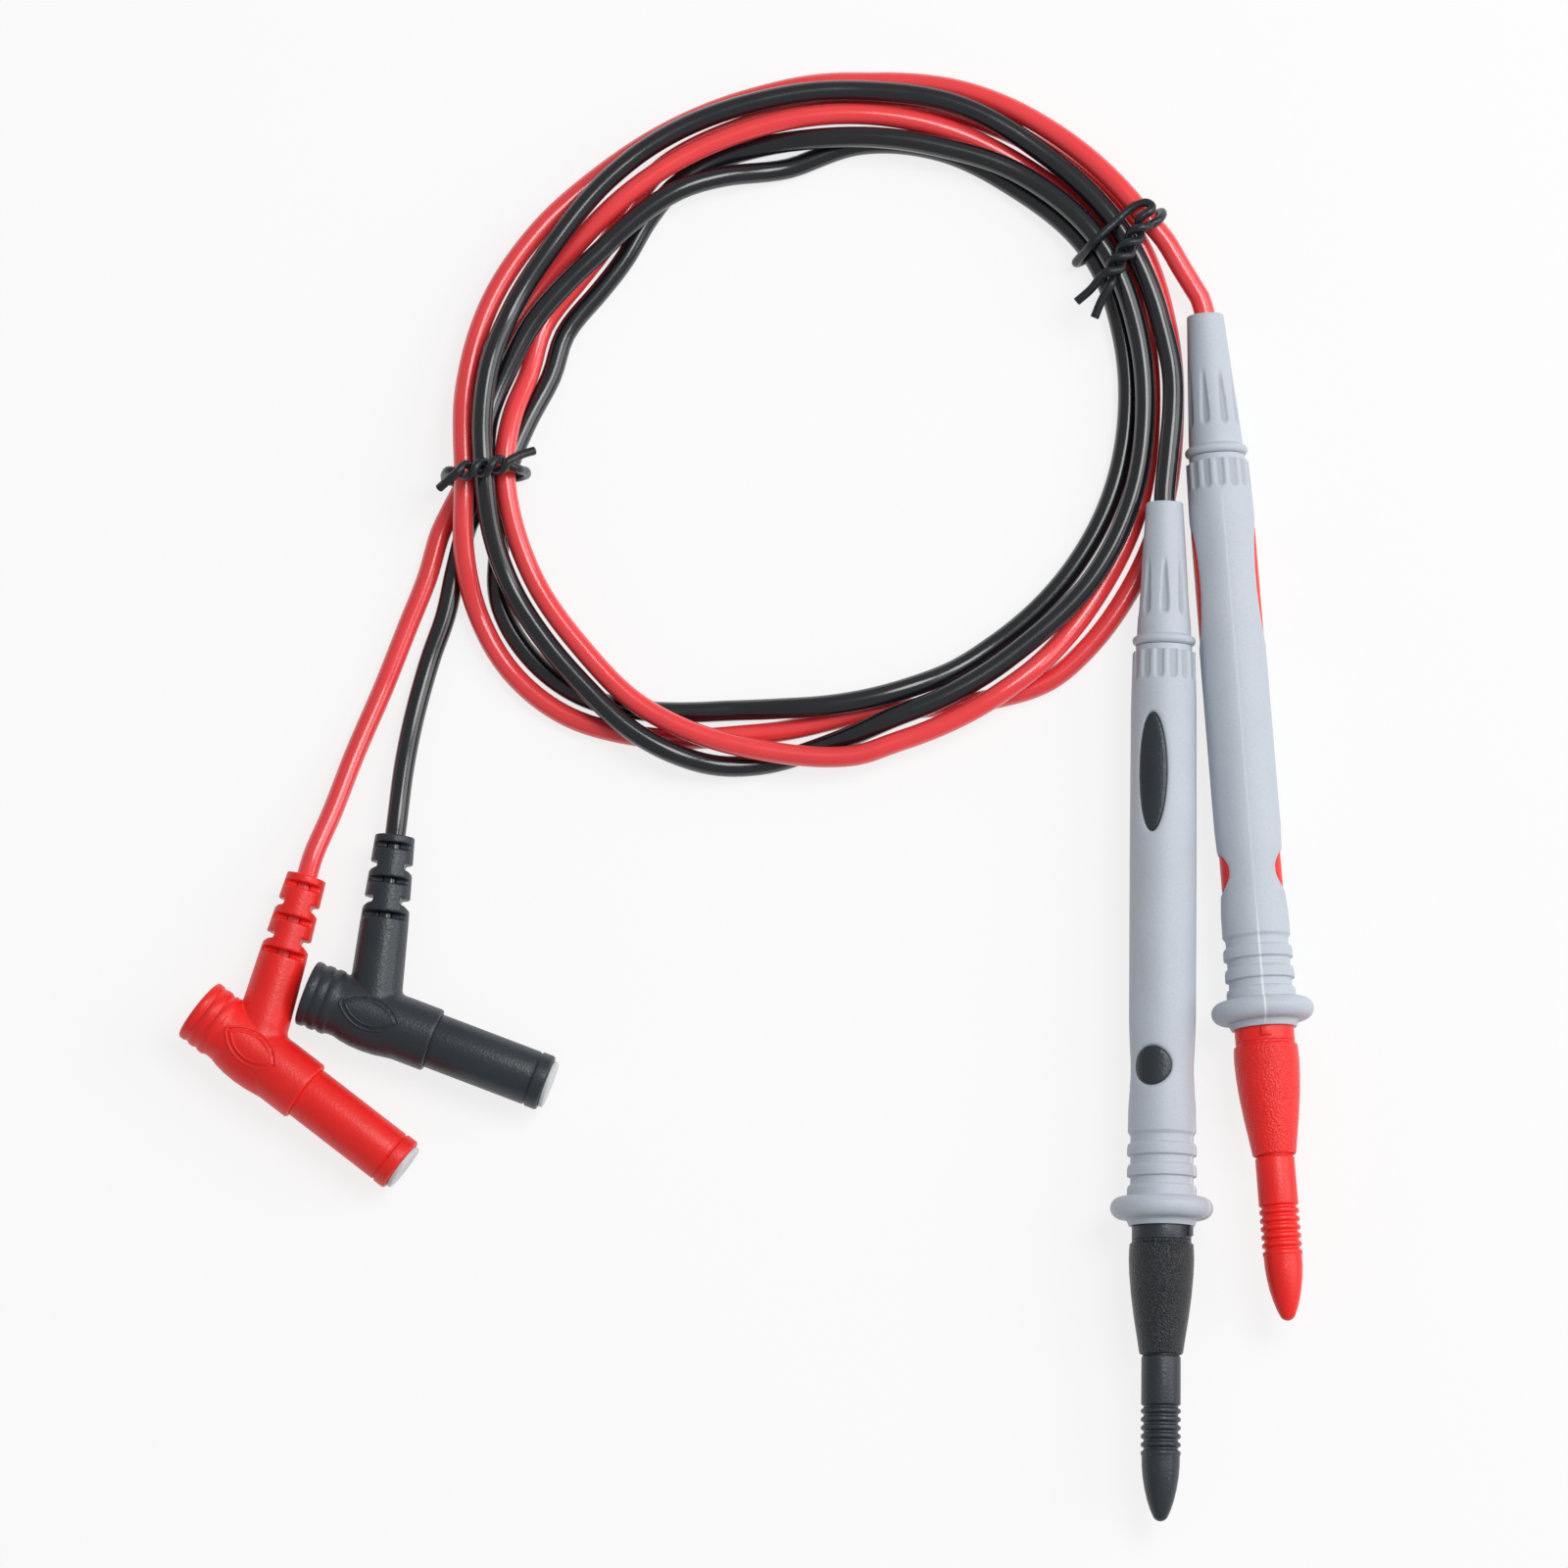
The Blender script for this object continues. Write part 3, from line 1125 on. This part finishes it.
class LEADS_OT_covers(bpy.types.Operator):
    """Turns the ringed tip covers"""

    bl_idname = "leads.covers"
    bl_label = "Tip covers"

    def execute(self, context):
        outline = [
            (1.08, COVER_FROM), (3.35, COVER_FROM), (3.35, 145.7), (3.12, 145.8), (3.12, 146.3),
            (3.33, 146.55), (3.35, GROOVES_FROM)]
        for k in range(GROOVES):
            z = GROOVES_FROM + GROOVE_PITCH * k
            outline += [(2.93, z + 0.1), (2.93, z + 0.5), (3.38, z + 0.75), (3.38, z + 1.32)]
        outline += [
            (3.25, 163.12), (3.22, 165), (3.02, 167), (2.7, 168.9), (2.27, 170.7),
            (1.78, 172.2), (1.32, 173.3)]
        outline = rounded(outline, 0.18)[:-1]
        outline += arc((0, 172.82), 1.38, 25, 90, 8) + [(0, 168.7), (1.08, 168.5)]
        for name in SETS:
            piece(lathe(outline), f"{name}_cover_shell", on_probe(name), finish(f"{name} moulding"),
                  f"{name}_cover", [f"{name}_tip_cover"])
        return {"FINISHED"}


class LEADS_OT_metalwork(bpy.types.Operator):
    """Gives the pins, needles and conductors their finishes"""

    bl_idname = "leads.metalwork"
    bl_label = "Metal parts"

    def execute(self, context):
        finishes = {
            "needle": "nickel plating", "needle_crimp": "turned brass",
            "banana_pin": "nickel plating", "contact_spring": "nickel plating",
            "probe_strands": "bright copper", "plug_strands": "bright copper",
        }
        for name in SETS:
            for part, wanted in finishes.items():
                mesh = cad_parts[f"{name}_{part}"].data
                mesh.materials.clear()
                mesh.materials.append(finish(wanted))
        return {"FINISHED"}


class LEADS_PT_panel(bpy.types.Panel):
    """Lists the set's settings and pieces"""

    bl_idname = "LEADS_PT_panel"
    bl_label = "Test Leads"
    bl_space_type = "VIEW_3D"
    bl_region_type = "UI"
    bl_category = "Test Leads"

    def draw(self, context):
        for name in TestLeadSettings.__annotations__:
            self.layout.prop(context.scene.test_leads, name)
        for operator in OPERATORS:
            self.layout.operator(operator.bl_idname)


OPERATORS = (
    LEADS_OT_stage, LEADS_OT_leads, LEADS_OT_ties, LEADS_OT_plugs, LEADS_OT_declare,
    LEADS_OT_sleeves, LEADS_OT_grips, LEADS_OT_handles, LEADS_OT_noses, LEADS_OT_covers,
    LEADS_OT_metalwork,
)
CLASSES = (TestLeadSettings,) + OPERATORS + (LEADS_PT_panel,)


def register():
    for cls in CLASSES:
        bpy.utils.register_class(cls)
    bpy.types.Scene.test_leads = PointerProperty(type=TestLeadSettings)


def unregister():
    del bpy.types.Scene.test_leads
    for cls in reversed(CLASSES):
        bpy.utils.unregister_class(cls)


def main():
    register()
    bpy.ops.leads.stage()
    bpy.ops.leads.leads()
    bpy.ops.leads.ties()
    bpy.ops.leads.plugs()
    bpy.ops.leads.declare()
    bpy.ops.leads.sleeves()
    bpy.ops.leads.grips()
    bpy.ops.leads.handles()
    bpy.ops.leads.noses()
    bpy.ops.leads.covers()
    bpy.ops.leads.metalwork()


if __name__ == "__main__":
    main()
